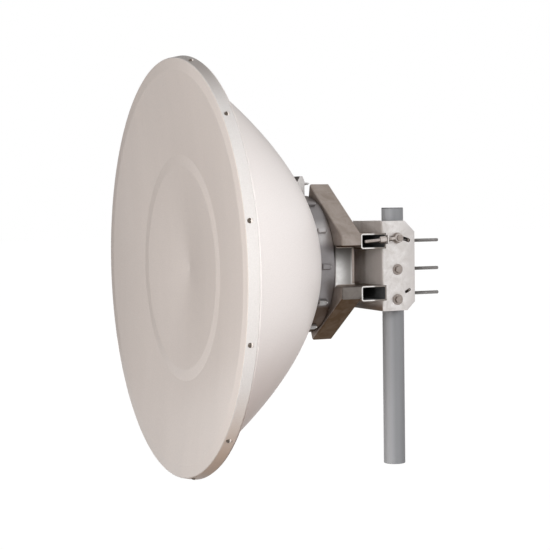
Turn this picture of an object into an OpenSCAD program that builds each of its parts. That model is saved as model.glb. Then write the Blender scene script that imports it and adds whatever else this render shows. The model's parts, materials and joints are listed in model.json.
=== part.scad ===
// Point-to-point microwave dish antenna, 1.2 m class, with a plastic radome
// and an offset pole mount. All sizes are millimetres.
// Shared frame: the mast axis is Z with its foot at Z = 0, the dish looks
// along -Y, and the mast stands on the +X side of the dish axis.

/* [Mast] */
// Outside diameter of the mast tube
mast_od = 63.5; // [62:0.5:64]
// Wall of the mast tube
mast_wall = 3.2; // [2.5:0.1:4]
// Length of the mast stub, without its end plug
mast_len = 752; // [740:1:800]
// Height of the dish axis above the mast foot
axis_h = 589; // [570:1:595]
// Sideways distance from the dish axis to the mast axis
dish_off = 172.5; // [170:0.5:180]

/* [Dish] */
// Diameter of the radome's front edge
rim_d = 1200; // [1080:10:1300]
// Width of the flat rim round the reflector's bowl
rim_flange = 33.6; // [31:0.2:36]
// Depth of the reflector's vertex behind the rim front
vertex_y = 439; // [436:1:442]
// Sheet thickness of the reflector
dish_t = 3; // [2:0.5:3.5]
// Depth of the reflector's flat rim behind the radome's front edge
rim_y = 36; // [35:1:38]
// Depth of the radome skirt
skirt_l = 30; // [28:1:31]
// Slope of the radome skirt, which is widest at its rear
skirt_draft = 12; // [8:1:14]
// Width of the flat band round the radome's face
band_w = 40; // [30:1:50]
// Wall of the radome
radome_t = 3; // [2.5:0.5:4]
// Depth of the radome's centre behind the rim front
radome_dip = 62; // [50:1:70]
// Middle radius of the flat step ring in the radome
step_r = 310; // [280:5:330]
// Width of the step ring
step_w = 33; // [20:1:40]
// Depth of the step ring behind the rim front
step_y = 30.5; // [24:0.5:36]
// Number of radome screws
rim_screws = 12; // [8:2:16]

/* [Hub] */
// Outside radius of the hub ring
hub_r = 205; // [202:1:208]
// Radius of the flat vertex area of the reflector
flat_r = 150; // [148:1:152]
// Thickness of the hub plate
plate_t = 9; // [8:0.5:10]
// Thickness of the hub ring's rear flange
flange_t = 10; // [8:0.5:12]
// Number of places round the hub ring; the top one holds the hoist bracket
hub_lugs = 12; // [8:4:12]
// Outside radius of the feed tube
feed_r = 15; // [14:0.5:16]
// Length of the feed tube in front of the hub plate
feed_len = 160; // [140:5:175]

/* [Bracket] */
// Sheet thickness of tray, yoke and gusset
sheet = 6; // [5:0.5:6.5]
// Depth of the tray's flanges
tray_h = 61; // [58:1:64]
// Thickness of the tray's rear lid, which lies level with the flanges
lid_t = 8; // [6:1:10]
// Height of the tray's upper point above the dish axis
tray_top = 241; // [236:1:246]
// Depth of the tray's lower point below the dish axis
tray_low = 228; // [224:1:234]
// Width of a cross beam along the dish axis
beam_w = 80; // [76:1:84]
// Height of a cross beam
beam_h = 44; // [42:1:46]
// Wall of a cross beam
beam_t = 4; // [3:0.5:5]
// Half of the distance between the middles of the cross beams
beam_z = 75; // [74:0.5:76]
// Height of the point midway between the cross beams relative to the dish axis
beam_mid = -4; // [-5:0.5:-3]
// Length of a cross beam
beam_len = 340; // [330:5:350]
// Half of the width across the outside of the yoke
yoke_hw = 77.5; // [76:0.5:80]
// Depth of the yoke's cheeks
cheek_d = 105; // [100:1:110]

/* [Pole clamp] */
// Distance from the yoke's front face back to the tilt axis
pivot_d = 48.4; // [48:0.2:52]
// Height of the tilt axis relative to the dish axis
pivot_z = -12.5; // [-14:0.5:-10]
// Distance from the tilt axis back to the mast axis
mast_back = 25.6; // [25:0.2:27]
// Radius from the tilt axis to the upper bolts
upper_r = 91; // [88:1:93]
// Radius from the tilt axis to the lower bolts
lower_r = 87; // [86:1:90]
// Sideways place of the clamp studs from the mast axis
stud_u = 46.5; // [46.5:0.1:47]
// How far the near clamp studs reach behind the mast axis
stud_reach = 125; // [105:1:130]
// How far the far clamp studs reach behind the mast axis
far_reach = 81; // [80:1:100]

/* [Hidden] */
$fn = 96;
dish_seg = 24;
gap = 0.3;
cut = 100;
m10 = 5;
stud_fit = 0.5;
stud_edge = 13;
clamp_h = 192;
clamp_low = 95;
nut_h = 8;
small_washer_r = 10;
plug_h = 14;
plug_d = mast_od - 2 * mast_wall + 0.6;
m10_hex = 17 / sqrt(3);
head_h = 6.4;
washer_t = 2.5;
washer_r = 15.5;
rim_r = rim_d / 2;
lip_r = 4.6;
lip_c = rim_r - 2.6;
rim_in = rim_r - rim_flange;
focal = rim_in * rim_in / (4 * (vertex_y - rim_y));
ring_in = lip_r - radome_t - 0.4;
ring_front = 6.5;
rim_wall = 4.6;
rim_wall_r = skirt_r(skirt_l, ring_in);
screw_turn = 16.6;
screw_y = 13;
screw_r = 2.5;
screw_head_r = 7;
screw_head_t = 3.6;
ring_gap = 2.5;
ring_t = 4;
flat_y = vertex_y - flat_r * flat_r / (4 * focal);
feed_hole_r = feed_r + 3;
foot_w = 22;
foot_t = 6;
hub_wall = 10;
plate_lap = 18;
bolt_in = 9;
foot_in = flat_r + foot_w;
plate_r = flat_r + plate_lap;
bolt_ring = flat_r + bolt_in;
hub_rear = flat_y + plate_t + flange_t;
lug_y = back_y(hub_r) + 2;
lug_len = 24;
lug_h = 8;
lug_off = 3.6;
lug_w = 17;
hub_screw_r = 2;
hub_screw_l = 18;
hub_head_r = 3.2;
hub_head_t = 3;
neck_t = 8;
flange_r = 30;
hole_ring = 23;
cone_r = 38;
cone_l = 28;
spigot_l = 20;
tip_l = 40;
sub_r = 40;
sub_t = 6;
feed_y0 = flat_y - feed_len;
feed_y1 = flat_y + plate_t + gap + neck_t;
ear_x = dish_off + yoke_hw;
ear_len = 45;
near_x = ear_x - ear_len;
hoist_w = 40;
hoist_t = 6;
hoist_h = 60;
hoist_y = 10;
hoist_up = 36;
hoist_bend = 43;
hoist_lean = 6;
hoist_side = 24;
ear_z0 = 57;
ear_z1 = 90;
tip_x = 31;
low_tip_x = 38;
neck_x = 22;
neck_z = 202;
low_neck_z = 195;
flank_x = 150;
flank_z = 120;
far_x = 190;
lid_x0 = -90;
lid_z = 105;
beam_b = tray_h;
lid_b = tray_h - lid_t;
beam_heights = [beam_mid - beam_z, beam_mid + beam_z];
web_lap = 12;
web_b = beam_b + beam_w - web_lap;
web_len = 190;
web_u0 = yoke_hw - web_len;
bend_r = 9;
short_r = 71;
short_w = 4;
low_cut_y = 25;
low_cut_z = 29;
top_cut_y = 32;
top_cut_z = 31;
yoke_z0 = -132;
yoke_z1 = 128;
pivot_b = web_b + pivot_d;
mast_b = pivot_b + mast_back;
dish_reach = hub_rear + mast_b;
side_u = yoke_hw - sheet - 0.4;
block_t = 14;
v_in = (mast_od / 2 + gap) / cos(30);
v_out = v_in + sheet / cos(30);
v_half = 34;
flat_v = v_in - v_half * tan(30);
stud_z = [82, 0, -72];
washer_u = yoke_hw + gap;
head_u = washer_u + washer_t;
eye_u = head_u + gap;
eye_t = 11;
rod_tilt = 4.5;
rod_len = 108;
nut_len = 20;
lug_b = beam_b + beam_w - beam_t;
lug_gap = 1.15;
nut_at = (pivot_b - lug_b + lug_gap) / cos(rod_tilt);

// Back face of the reflector at radius r, and its front face one sheet in front.
function back_y(r) = vertex_y - r * r / (4 * focal);
function front_y(r) = back_y(r) - dish_t * sqrt(1 + pow(r / (2 * focal), 2));

// Radius of the radome's flared skirt at depth y, where off is the lip's radius
// outside and less by the distance inside.
function skirt_r(y, off) = lip_c + off * cos(skirt_draft) + (y - lip_r + off * sin(skirt_draft)) * tan(skirt_draft);

// A polygon, listed anticlockwise, moved inwards by t along every edge.
function unit(v) = v / norm(v);
function left_of(v) = [-v[1], v[0]];
function inset_point(a, b, t) = t * (a + b) / (1 + a * b);
function edge_normal(pts, i) = left_of(unit(pts[(i + 1) % len(pts)] - pts[i % len(pts)]));
function inset(pts, t) = [for (i = [0 : len(pts) - 1])
  pts[i] + inset_point(edge_normal(pts, i + len(pts) - 1), edge_normal(pts, i), t)];

// Outline of the tray in X and Z of the dish, anticlockwise from the lower ear.
function tray_outline() = [
  [ear_x, -ear_z1], [ear_x, -ear_z0], [near_x, -ear_z0],
  [near_x, ear_z0], [ear_x, ear_z0], [ear_x, ear_z1],
  [tip_x, tray_top], [neck_x, neck_z], [-flank_x, flank_z],
  [-far_x, 0],
  [-flank_x, -flank_z], [neck_x, -low_neck_z], [low_tip_x, -tray_low]
];

// Places: dish (rim front), hub (rear face of the hub ring), yoke (same, but X
// from the mast axis) and pivot (tilt axis).
module at_dish() translate([-dish_off, -dish_reach, axis_h]) children();
module at_hub() translate([-dish_off, -mast_b, axis_h]) children();
module at_yoke() translate([0, -mast_b, axis_h]) children();
module at_pivot() translate([0, -mast_back, axis_h + pivot_z]) children();

// A drawing in X and Z pushed along Y, one in Y and Z pushed along X, and a
// profile of radius and Y turned about Y.
module along_y(y0, y1) translate([0, y1, 0]) rotate([90, 0, 0]) linear_extrude(y1 - y0) children();
module along_x(x0, x1) translate([x0, 0, 0]) rotate([90, 0, 90]) linear_extrude(x1 - x0) children();
module round_y() rotate([-90, 0, 0]) rotate_extrude() children();
module rod_y(r, y0, y1) translate([0, y0, 0]) rotate([-90, 0, 0]) cylinder(r = r, h = y1 - y0);
module rod_x(r, x0, x1) translate([x0, 0, 0]) rotate([0, 90, 0]) cylinder(r = r, h = x1 - x0);
module hex_y(r, y0, y1) translate([0, y0, 0]) rotate([-90, 0, 0]) cylinder(r = r, h = y1 - y0, $fn = 6);
module hex_x(r, x0, x1) translate([x0, 0, 0]) rotate([0, 90, 0]) cylinder(r = r, h = x1 - x0, $fn = 6);
module spin(n, phase) for (k = [0 : n - 1]) rotate([0, phase + k * 360 / n, 0]) children();
module both_sides() for (m = [0, 1]) mirror([m, 0, 0]) children();

// Curved slot about the tilt axis, from angle a0 to a1 measured from straight down.
module arc_slot(r, a0, a1, w) {
  rotate([0, 90, 0]) rotate([0, 0, a0]) rotate_extrude(angle = a1 - a0) translate([r - w, -cut])
    square([2 * w, 2 * cut]);
  for (a = [a0, a1]) rotate([0, 90, 0]) rotate([0, 0, a]) translate([r, 0, -cut]) cylinder(r = w, h = 2 * cut);
}

// Mast

module mast_tube() color("gray") difference() {
  cylinder(d = mast_od, h = mast_len);
  translate([0, 0, -1]) cylinder(d = mast_od - 2 * mast_wall, h = mast_len + 2);
  translate([0, 0, mast_len - plug_h]) cylinder(d = plug_d, h = plug_h + 1);
}

module mast_plug() color("dimgray") {
  translate([0, 0, mast_len]) cylinder(d = mast_od, h = 3);
  translate([0, 0, mast_len - plug_h]) cylinder(d = plug_d - 0.1, h = plug_h + 1);
}

// Pole clamp

module v_plate(side) polygon([
  [0, side * v_in], [v_half, side * flat_v], [stud_u + stud_edge, side * flat_v],
  [stud_u + stud_edge, side * (flat_v + sheet)], [v_half + sheet * tan(15), side * (flat_v + sheet)],
  [0, side * v_out],
  [-v_half - sheet * tan(15), side * (flat_v + sheet)], [-stud_u - stud_edge, side * (flat_v + sheet)],
  [-stud_u - stud_edge, side * flat_v], [-v_half, side * flat_v]
]);

module carrier_block() along_x(side_u - block_t, side_u) polygon([
  [-16, -lower_r - 14], [12, -lower_r - 14], [15.6, -lower_r - 6],
  [15.6, upper_r + 6], [12, upper_r + 12], [-14, upper_r + 12]
]);

module clamp_carrier() color("silver") difference() {
  union() {
    translate([0, 0, axis_h + pivot_z - clamp_low]) linear_extrude(clamp_h) v_plate(-1);
    at_pivot() both_sides() carrier_block();
  }
  at_pivot() for (z = [-lower_r, 0, upper_r]) translate([0, 0, z]) rod_x(m10 + 0.1, -cut, cut);
  stud_places() rod_y(m10 + stud_fit, -cut, 0);
}

module stud_places() translate([0, 0, axis_h + pivot_z]) for (z = stud_z) for (s = [-1, 1])
  translate([s * stud_u, 0, z]) children();

module clamp_studs() color("dimgray") {
  stud_places() hex_y(m10_hex, -flat_v - sheet - head_h, -flat_v - sheet);
  translate([0, 0, axis_h + pivot_z]) for (z = stud_z) {
    translate([stud_u, 0, z]) rod_y(m10, -flat_v - sheet - 1, stud_reach);
    translate([-stud_u, 0, z]) rod_y(m10, -flat_v - sheet - 1, far_reach);
  }
}

module side_bolt(z, head) translate([0, 0, z]) {
  rod_x(m10, side_u - block_t + 0.5, head + 1);
  hex_x(m10_hex, head, head + head_h);
}

module side_bolts() color("dimgray") at_pivot() {
  side_bolt(0, head_u);
  side_bolt(-lower_r, head_u);
  mirror([1, 0, 0]) for (z = [-lower_r, 0, upper_r]) side_bolt(z, head_u);
}

module adjuster_bolt() color("dimgray") at_pivot() side_bolt(upper_r, eye_u + eye_t + gap);

module bolt_washers() color("silver") at_pivot() both_sides() for (z = [-lower_r, 0, upper_r])
  translate([0, 0, z]) difference() {
    rod_x(washer_r, washer_u, head_u);
    rod_x(m10 + 0.2, washer_u - 1, head_u + 1);
  }

module clamp_jaw() color("silver") difference() {
  translate([0, 0, axis_h + pivot_z - clamp_low]) linear_extrude(clamp_h) v_plate(1);
  stud_places() rod_y(m10 + stud_fit, 0, cut);
}

module jaw_washers() color("silver") stud_places() difference() {
  rod_y(small_washer_r, flat_v + sheet, flat_v + sheet + washer_t);
  rod_y(m10 + stud_fit, 0, cut);
}

module jaw_nuts() color("dimgray") stud_places() difference() {
  hex_y(m10_hex, flat_v + sheet + washer_t, flat_v + sheet + washer_t + nut_h);
  rod_y(m10 + stud_fit, 0, cut);
}

// Dish

module screw_places() spin(rim_screws, screw_turn) translate([skirt_r(screw_y, lip_r), screw_y, 0])
  rotate([0, 0, -skirt_draft]) children();

module radome() {
  turn = (90 - skirt_draft) / 5;
  inner_r = lip_r - radome_t;
  outer = [for (k = [0 : 5]) [lip_c + lip_r * sin(k * turn), lip_r - lip_r * cos(k * turn)]];
  inner = [for (k = [5 : -1 : 0]) [lip_c + inner_r * sin(k * turn), lip_r - inner_r * cos(k * turn)]];
  color("tan") at_dish() difference() {
    round_y() polygon(concat(
      [[0, radome_dip], [step_r - step_w / 2, step_y], [step_r + step_w / 2, step_y], [lip_c - band_w, 0]],
      outer, [[skirt_r(skirt_l, lip_r), skirt_l], [skirt_r(skirt_l, inner_r), skirt_l]], inner,
      [[lip_c - band_w, radome_t], [step_r + step_w / 2, step_y + radome_t]],
      [[step_r - step_w / 2, step_y + radome_t], [0, radome_dip + radome_t]]));
    screw_places() rod_x(screw_r + 0.2, -15, 5);
  }
}

module radome_screws() color("black") at_dish() screw_places() {
  rod_x(screw_r, -12, 1);
  rod_x(screw_head_r, 0, screw_head_t);
}

module rim_gasket() color("black") at_dish() round_y()
  translate([skirt_r(ring_front, ring_in - rim_wall) + 0.2, radome_t + 0.1]) square([3, ring_front - radome_t - 0.1]);

module rim_ring() color("silver") at_dish() difference() {
  round_y() polygon([
    [rim_in + ring_gap, rim_y - dish_t], [rim_wall_r, rim_y - dish_t], [rim_wall_r, skirt_l],
    [skirt_r(ring_front, ring_in), ring_front], [skirt_r(ring_front, ring_in - rim_wall), ring_front],
    [skirt_r(rim_y - dish_t - ring_t, ring_in - rim_wall), rim_y - dish_t - ring_t],
    [rim_in + ring_gap, rim_y - dish_t - ring_t]
  ]);
  screw_places() rod_x(screw_r + 0.1, -15, 5);
}

module reflector() {
  step = (rim_in - flat_r) / dish_seg;
  back = [for (i = [0 : dish_seg]) [flat_r + i * step, back_y(flat_r + i * step)]];
  front = [for (i = [dish_seg - 1 : -1 : 1]) [flat_r + i * step, front_y(flat_r + i * step)]];
  color("white") at_dish() round_y() polygon(concat(
    [[feed_hole_r, flat_y]], back,
    [[rim_wall_r, rim_y], [rim_wall_r, rim_y - dish_t], [rim_in - dish_t, rim_y - dish_t]],
    front, [[flat_r, flat_y - dish_t], [feed_hole_r, flat_y - dish_t]]));
}

// Hub

module lug_places() for (k = [0 : hub_lugs - 1]) if (k * 360 / hub_lugs != 270)
  rotate([0, k * 360 / hub_lugs, 0]) children();

module hub_ring() {
  foot = [for (i = [0 : 4]) let (r = foot_in + i * (hub_r - foot_in) / 4) [r, back_y(r) + gap]];
  color("gray") at_dish() difference() {
    union() {
      round_y() polygon(concat(foot, [
        [hub_r, hub_rear], [flat_r, hub_rear], [flat_r, hub_rear - flange_t],
        [hub_r - hub_wall, hub_rear - flange_t], [hub_r - hub_wall, back_y(hub_r - hub_wall) + foot_t],
        [foot_in, back_y(foot_in) + foot_t]
      ]));
      lug_places() translate([hub_r - 2, lug_y, -lug_w / 2]) cube([lug_h + 2, lug_len, lug_w]);
    }
    lug_places() translate([hub_r + lug_off, 0, 0]) rod_y(hub_screw_r + 0.1, lug_y + 3, lug_y + cut);
    spin(8, 0) translate([bolt_ring, 0, 0]) rod_y(4.2, flat_y, hub_rear + 1);
  }
}

module hub_screws() color("silver") at_dish() lug_places() translate([hub_r + lug_off, lug_y + lug_len, 0]) {
  hex_y(hub_head_r, 0, hub_head_t);
  rod_y(hub_screw_r, -hub_screw_l, 1);
}

module hub_plate() color("silver") at_dish() difference() {
  rod_y(plate_r, flat_y, flat_y + plate_t);
  rod_y(feed_r + 0.06, flat_y - 1, flat_y + plate_t + 1);
  rod_y(feed_r + 4, flat_y + plate_t - 4, flat_y + plate_t + 1);
  spin(8, 0) translate([bolt_ring, 0, 0]) rod_y(4.1, flat_y + 1, flat_y + plate_t + 1);
}

module feed_seal() color("black") at_dish() difference() {
  rod_y(feed_r + 4, flat_y + plate_t - 4, flat_y + plate_t);
  rod_y(feed_r + gap, flat_y, flat_y + plate_t + 1);
}

module hoist_bracket() color("dimgray") at_hub() difference() {
  back = [[-hoist_y, hub_r - 2], [-hoist_y, hub_r + hoist_bend], [-hoist_y - hoist_lean, hub_r + hoist_h - 2]];
  union() {
    along_x(-hoist_w / 2, hoist_w / 2) polygon(concat(back, [
      [-hoist_y - hoist_lean - hoist_t, hub_r + hoist_h - 2], [-hoist_y - hoist_t, hub_r + hoist_bend],
      [-hoist_y - hoist_t, hub_r - 2]]));
    along_x(hoist_w / 2 - hoist_t, hoist_w / 2) polygon(concat(back, [
      [-hoist_y - hoist_lean - hoist_t - 2, hub_r + hoist_h - 2], [-hoist_y - hoist_side, hub_r + hoist_bend - 3],
      [-hoist_y - hoist_side, hub_r - 2]]));
  }
  rod_y(hub_r + gap, -50, 0);
  translate([0, 0, hub_r + hoist_up]) rod_y(4.3, -hoist_y - hoist_t - 1, 0);
}

module hoist_bolt() color("silver") at_hub() translate([0, 0, hub_r + hoist_up]) {
  hex_y(7.5, -hoist_y - hoist_t - 5.5, -hoist_y - hoist_t);
  rod_y(4, -hoist_y - hoist_t - 1, 11);
}

module hoist_wing_nut() color("silver") at_hub() translate([0, 0, hub_r + hoist_up]) difference() {
  union() {
    rod_y(6.5, -hoist_y, 1);
    for (m = [0, 1]) rotate([0, 90, 0]) mirror([0, 0, m]) along_x(-1.5, 1.5)
      polygon([[-8, 6], [-8, 12], [-2, 21], [6, 21], [7, 16], [0, 6]]);
  }
  rod_y(4.1, -20, 20);
}

// Bracket

module hub_tray() color("darkgray") at_hub() difference() {
  along_y(0, tray_h) polygon(tray_outline());
  along_y(sheet, tray_h + 1) polygon(inset(tray_outline(), sheet));
  translate([lid_x0, lid_b, -lid_z]) cube([near_x - lid_x0, lid_t + 1, 2 * lid_z]);
  rod_y(flat_r / 2, -1, sheet + 1);
  spin(8, 0) translate([bolt_ring, 0, 0]) rod_y(4.5, -1, sheet + 1);
}

module tray_bolts() color("silver") at_hub() spin(8, 0) translate([bolt_ring, 0, 0]) {
  hex_y(7.5, sheet, sheet + 5.3);
  rod_y(4, 2 - flange_t - plate_t, sheet + 1);
}

module tray_lid() color("darkgray") at_hub() difference() {
  translate([lid_x0, lid_b, -lid_z]) cube([near_x - lid_x0, lid_t, 2 * lid_z]);
  rod_y(45, lid_b - 1, tray_h + 1);
}

module tray_ribs() color("darkgray") at_hub() for (z = beam_heights)
  translate([lid_x0, sheet, z - sheet / 2]) cube([near_x - sheet - lid_x0, lid_b - sheet, sheet]);

module beam_box(z, inner) along_x(yoke_hw - beam_len - (inner > 0 ? 1 : 0), yoke_hw + (inner > 0 ? 1 : 0))
  translate([beam_b + inner, z - beam_h / 2 + inner]) square([beam_w - 2 * inner, beam_h - 2 * inner]);

module cross_beams() color("darkgray") at_yoke() for (z = beam_heights) difference() {
  beam_box(z, 0);
  beam_box(z, beam_t);
}

module cheek(u) along_x(u, u + sheet) polygon([
  [web_b, yoke_z0], [web_b + cheek_d - low_cut_y, yoke_z0], [web_b + cheek_d, yoke_z0 + low_cut_z],
  [web_b + cheek_d, yoke_z1 - top_cut_z], [web_b + cheek_d - top_cut_y, yoke_z1], [web_b, yoke_z1]
]);

module pole_yoke() color("lightgray") difference() {
  at_yoke() {
    cheek(yoke_hw - sheet);
    cheek(-yoke_hw);
    translate([web_u0, web_b, yoke_z0]) cube([yoke_hw - web_u0, sheet, yoke_z1 - yoke_z0]);
  }
  at_yoke() for (z = beam_heights) along_x(web_u0 - 1, yoke_hw + 1)
    translate([beam_b, z - beam_h / 2]) square([beam_w, beam_h]);
  at_yoke() translate([yoke_hw - bend_r, web_b - 1, yoke_z0 - 1]) difference() {
    cube([bend_r + 1, bend_r + 1, yoke_z1 - yoke_z0 + 2]);
    translate([0, bend_r + 1, -1]) cylinder(r = bend_r, h = yoke_z1 - yoke_z0 + 4);
  }
  at_pivot() rod_x(m10 + 0.06, -cut, cut);
  at_pivot() arc_slot(upper_r, 156.5, 198, m10 + 0.6);
  at_pivot() arc_slot(lower_r, -6.6, 6.6, m10 + 0.4);
  at_pivot() arc_slot(short_r, 23, 33, short_w);
}

module yoke_gusset() color("darkgray") at_yoke() translate([web_u0, beam_b, beam_mid + beam_h / 2 - beam_z])
  cube([sheet, web_b - beam_b, 2 * beam_z - beam_h]);

module adjuster_lug() color("lightgray") at_yoke()
  translate([0, 0, pivot_z + upper_r - (pivot_b - lug_b) * tan(rod_tilt)]) difference() {
    translate([yoke_hw, lug_b, -13]) cube([19.5, beam_t, 25.5]);
    for (z = [-4, 2]) translate([eye_u + eye_t / 2, 0, z]) rod_y(m10 + 1.5, lug_b - 1, lug_b + beam_t + 1);
    translate([eye_u + eye_t / 2 - m10 - 1.5, lug_b - 1, -4]) cube([2 * m10 + 3, beam_t + 2, 6]);
  }

// Feed

module feed_tube() color("gold") at_dish() difference() {
  rod_y(feed_r, feed_y0, feed_y1 - neck_t);
  rod_y(feed_r - 4, feed_y0 - 1, feed_y1);
}

module feed_collar() color("silver") at_dish() difference() {
  rod_y(feed_r + 9, flat_y - dish_t - gap - 7, flat_y - dish_t - gap);
  rod_y(feed_r, flat_y - 50, flat_y);
}

module feed_flange() color("gold") at_dish() difference() {
  rod_y(flange_r, feed_y1 - neck_t, feed_y1);
  rod_y(feed_r - 4, feed_y1 - 20, feed_y1 + 1);
  spin(4, 45) translate([hole_ring, 0, 0]) rod_y(2.6, feed_y1 - neck_t - 1, feed_y1 + 1);
}

module feed_cone() color("white") at_dish() round_y() polygon([
  [0, feed_y0 - cone_l], [cone_r, feed_y0 - cone_l], [feed_r + 2, feed_y0], [feed_r - 4.1, feed_y0],
  [feed_r - 4.1, feed_y0 + spigot_l], [0, feed_y0 + tip_l]
]);

module sub_reflector() color("silver") at_dish() rod_y(sub_r, feed_y0 - cone_l - sub_t, feed_y0 - cone_l);

// Tilt adjuster

module on_rod() at_pivot() translate([eye_u + eye_t / 2, 0, upper_r]) rotate([rod_tilt, 0, 0]) children();

module eyebolt() color("dimgray") on_rod() difference() {
  union() {
    rod_x(13, -eye_t / 2, eye_t / 2);
    rod_y(m10, -rod_len, -8);
  }
  rod_x(m10 + 0.07, -20, 20);
}

module adjuster_nut() color("dimgray") on_rod() difference() {
  hex_y(m10_hex, -nut_at - nut_len, -nut_at);
  rod_y(m10 + 0.06, -rod_len - 50, 0);
}

mast_tube();
mast_plug();
clamp_carrier();
clamp_studs();
side_bolts();
adjuster_bolt();
bolt_washers();
clamp_jaw();
jaw_washers();
jaw_nuts();
radome();
radome_screws();
rim_gasket();
rim_ring();
reflector();
hub_ring();
hub_screws();
hub_plate();
feed_seal();
hub_tray();
tray_bolts();
tray_lid();
tray_ribs();
cross_beams();
pole_yoke();
yoke_gusset();
adjuster_lug();
hoist_bracket();
hoist_bolt();
hoist_wing_nut();
feed_tube();
feed_collar();
feed_flange();
feed_cone();
sub_reflector();
eyebolt();
adjuster_nut();
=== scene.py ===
import json
from math import atan2, cos, pi, radians, sin, sqrt, tan

import bmesh
import bpy
from mathutils import Matrix, Vector


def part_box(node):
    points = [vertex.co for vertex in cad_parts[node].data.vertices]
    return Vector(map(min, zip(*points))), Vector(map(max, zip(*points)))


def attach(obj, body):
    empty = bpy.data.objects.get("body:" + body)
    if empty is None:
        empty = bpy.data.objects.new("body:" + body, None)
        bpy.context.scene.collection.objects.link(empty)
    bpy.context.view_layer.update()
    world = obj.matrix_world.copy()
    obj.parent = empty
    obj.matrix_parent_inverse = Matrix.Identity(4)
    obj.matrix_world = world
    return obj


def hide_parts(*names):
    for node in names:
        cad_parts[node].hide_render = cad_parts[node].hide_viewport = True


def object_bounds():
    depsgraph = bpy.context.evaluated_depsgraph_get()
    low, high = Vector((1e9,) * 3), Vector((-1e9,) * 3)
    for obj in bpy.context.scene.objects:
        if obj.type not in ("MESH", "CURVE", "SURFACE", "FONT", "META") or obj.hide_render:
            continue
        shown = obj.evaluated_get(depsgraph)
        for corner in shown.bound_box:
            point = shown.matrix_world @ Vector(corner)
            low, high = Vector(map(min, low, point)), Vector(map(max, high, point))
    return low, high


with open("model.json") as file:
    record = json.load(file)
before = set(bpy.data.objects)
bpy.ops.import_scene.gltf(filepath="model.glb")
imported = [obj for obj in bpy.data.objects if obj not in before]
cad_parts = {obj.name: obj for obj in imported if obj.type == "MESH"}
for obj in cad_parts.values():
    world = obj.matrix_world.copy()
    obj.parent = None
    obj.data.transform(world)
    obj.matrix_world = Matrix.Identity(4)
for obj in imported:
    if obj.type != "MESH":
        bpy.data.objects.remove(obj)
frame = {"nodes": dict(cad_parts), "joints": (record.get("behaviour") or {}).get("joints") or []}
cad_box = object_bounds()

# Mast: a stub of painted steel tube, 63.5 mm outside, with its cut ends broken
# by a small chamfer and a push-in plastic plug that keeps the rain out.
mm = 0.001
X, Y, Z = Vector((1, 0, 0)), Vector((0, 1, 0)), Vector((0, 0, 1))


def begin(name):
    """One vertex at the frame's origin, in edit mode, that a drawing is pulled from."""
    bpy.ops.object.select_all(action="DESELECT")
    bpy.ops.mesh.primitive_plane_add(size=mm)
    piece = bpy.context.object
    piece.name = piece.data.name = name
    bpy.ops.object.mode_set(mode="EDIT")
    bpy.ops.mesh.merge(type="CENTER")
    return piece


def draw(piece, points, closed):
    """Pulls the start vertex through the points, in metres, and joins the last to the first."""
    bpy.ops.transform.translate(value=points[0])
    for here, there in zip(points, points[1:]):
        bpy.ops.mesh.extrude_vertices_move(TRANSFORM_OT_translate={"value": there - here})
    if closed:
        drawing = bmesh.from_edit_mesh(piece.data)
        drawing.verts.ensure_lookup_table()
        drawing.verts[0].select = drawing.verts[-1].select = True
        bmesh.update_edit_mesh(piece.data)
        bpy.ops.mesh.edge_face_add()
    bpy.ops.mesh.select_all(action="SELECT")


def face_out(piece):
    """Merges doubles, turns every face outward and leaves edit mode."""
    bpy.ops.mesh.select_all(action="SELECT")
    bpy.ops.mesh.remove_doubles(threshold=1e-6)
    bpy.ops.mesh.normals_make_consistent(inside=False)
    bpy.ops.object.mode_set(mode="OBJECT")
    return piece


def pick(piece):
    """Leaves one piece selected and active."""
    bpy.ops.object.select_all(action="DESELECT")
    bpy.context.view_layer.objects.active = piece
    piece.select_set(True)


def apply_modifier(piece, kind, **settings):
    """Adds one modifier, sets it and applies it."""
    modifier = piece.modifiers.new(kind.lower(), kind)
    for key, value in settings.items():
        setattr(modifier, key, value)
    pick(piece)
    bpy.ops.object.modifier_apply(modifier=modifier.name)


def ease_edges(piece, width, segments=2, angle=30):
    """Breaks the sharp edges by width, in millimetres, and shades the faces between them smooth."""
    if width:
        apply_modifier(piece, "BEVEL", width=width * mm, segments=segments, limit_method="ANGLE",
                       angle_limit=radians(angle))
    pick(piece)
    bpy.ops.object.shade_smooth_by_angle(angle=radians(angle))
    return piece


def turned(name, profile, at, axis, out, steps, closed=True):
    """A profile of radius and height, in millimetres, drawn beside an axis and spun about it."""
    piece = begin(name)
    draw(piece, [at + (out * r + axis * h) * mm for r, h in profile], closed)
    bpy.ops.mesh.spin(steps=steps, angle=2 * pi, center=at, axis=axis)
    return face_out(piece)


def new_group(name, inputs, outputs):
    """A shader node group whose sockets are Float, Vector or Color."""
    tree = bpy.data.node_groups.new(name, "ShaderNodeTree")
    for side, sockets in (("INPUT", inputs), ("OUTPUT", outputs)):
        for label, kind in sockets:
            tree.interface.new_socket(label, in_out=side, socket_type="NodeSocket" + kind)
    return tree, tree.nodes.new("NodeGroupInput"), tree.nodes.new("NodeGroupOutput")


def node(tree, kind, links=(), **settings):
    """A shader node with its settings; links are pairs of an input and a socket or a plain value."""
    made = tree.nodes.new("ShaderNode" + kind)
    for key, value in settings.items():
        setattr(made, key, value)
    for key, source in links:
        if isinstance(source, bpy.types.NodeSocket):
            tree.links.new(source, made.inputs[key])
        else:
            made.inputs[key].default_value = source
    return made


def calc(tree, operation, *values, **settings):
    """A sum or product of sockets and plain values."""
    return node(tree, "Math", enumerate(values), operation=operation, **settings).outputs[0]


def ranged(tree, value, start, end, to=(0.0, 1.0), smooth=False):
    """A value brought from one range to another and held at both ends."""
    return node(tree, "MapRange", [("Value", value), ("From Min", start), ("From Max", end), ("To Min", to[0]),
                                   ("To Max", to[1])],
                interpolation_type="SMOOTHSTEP" if smooth else "LINEAR").outputs["Result"]


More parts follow.
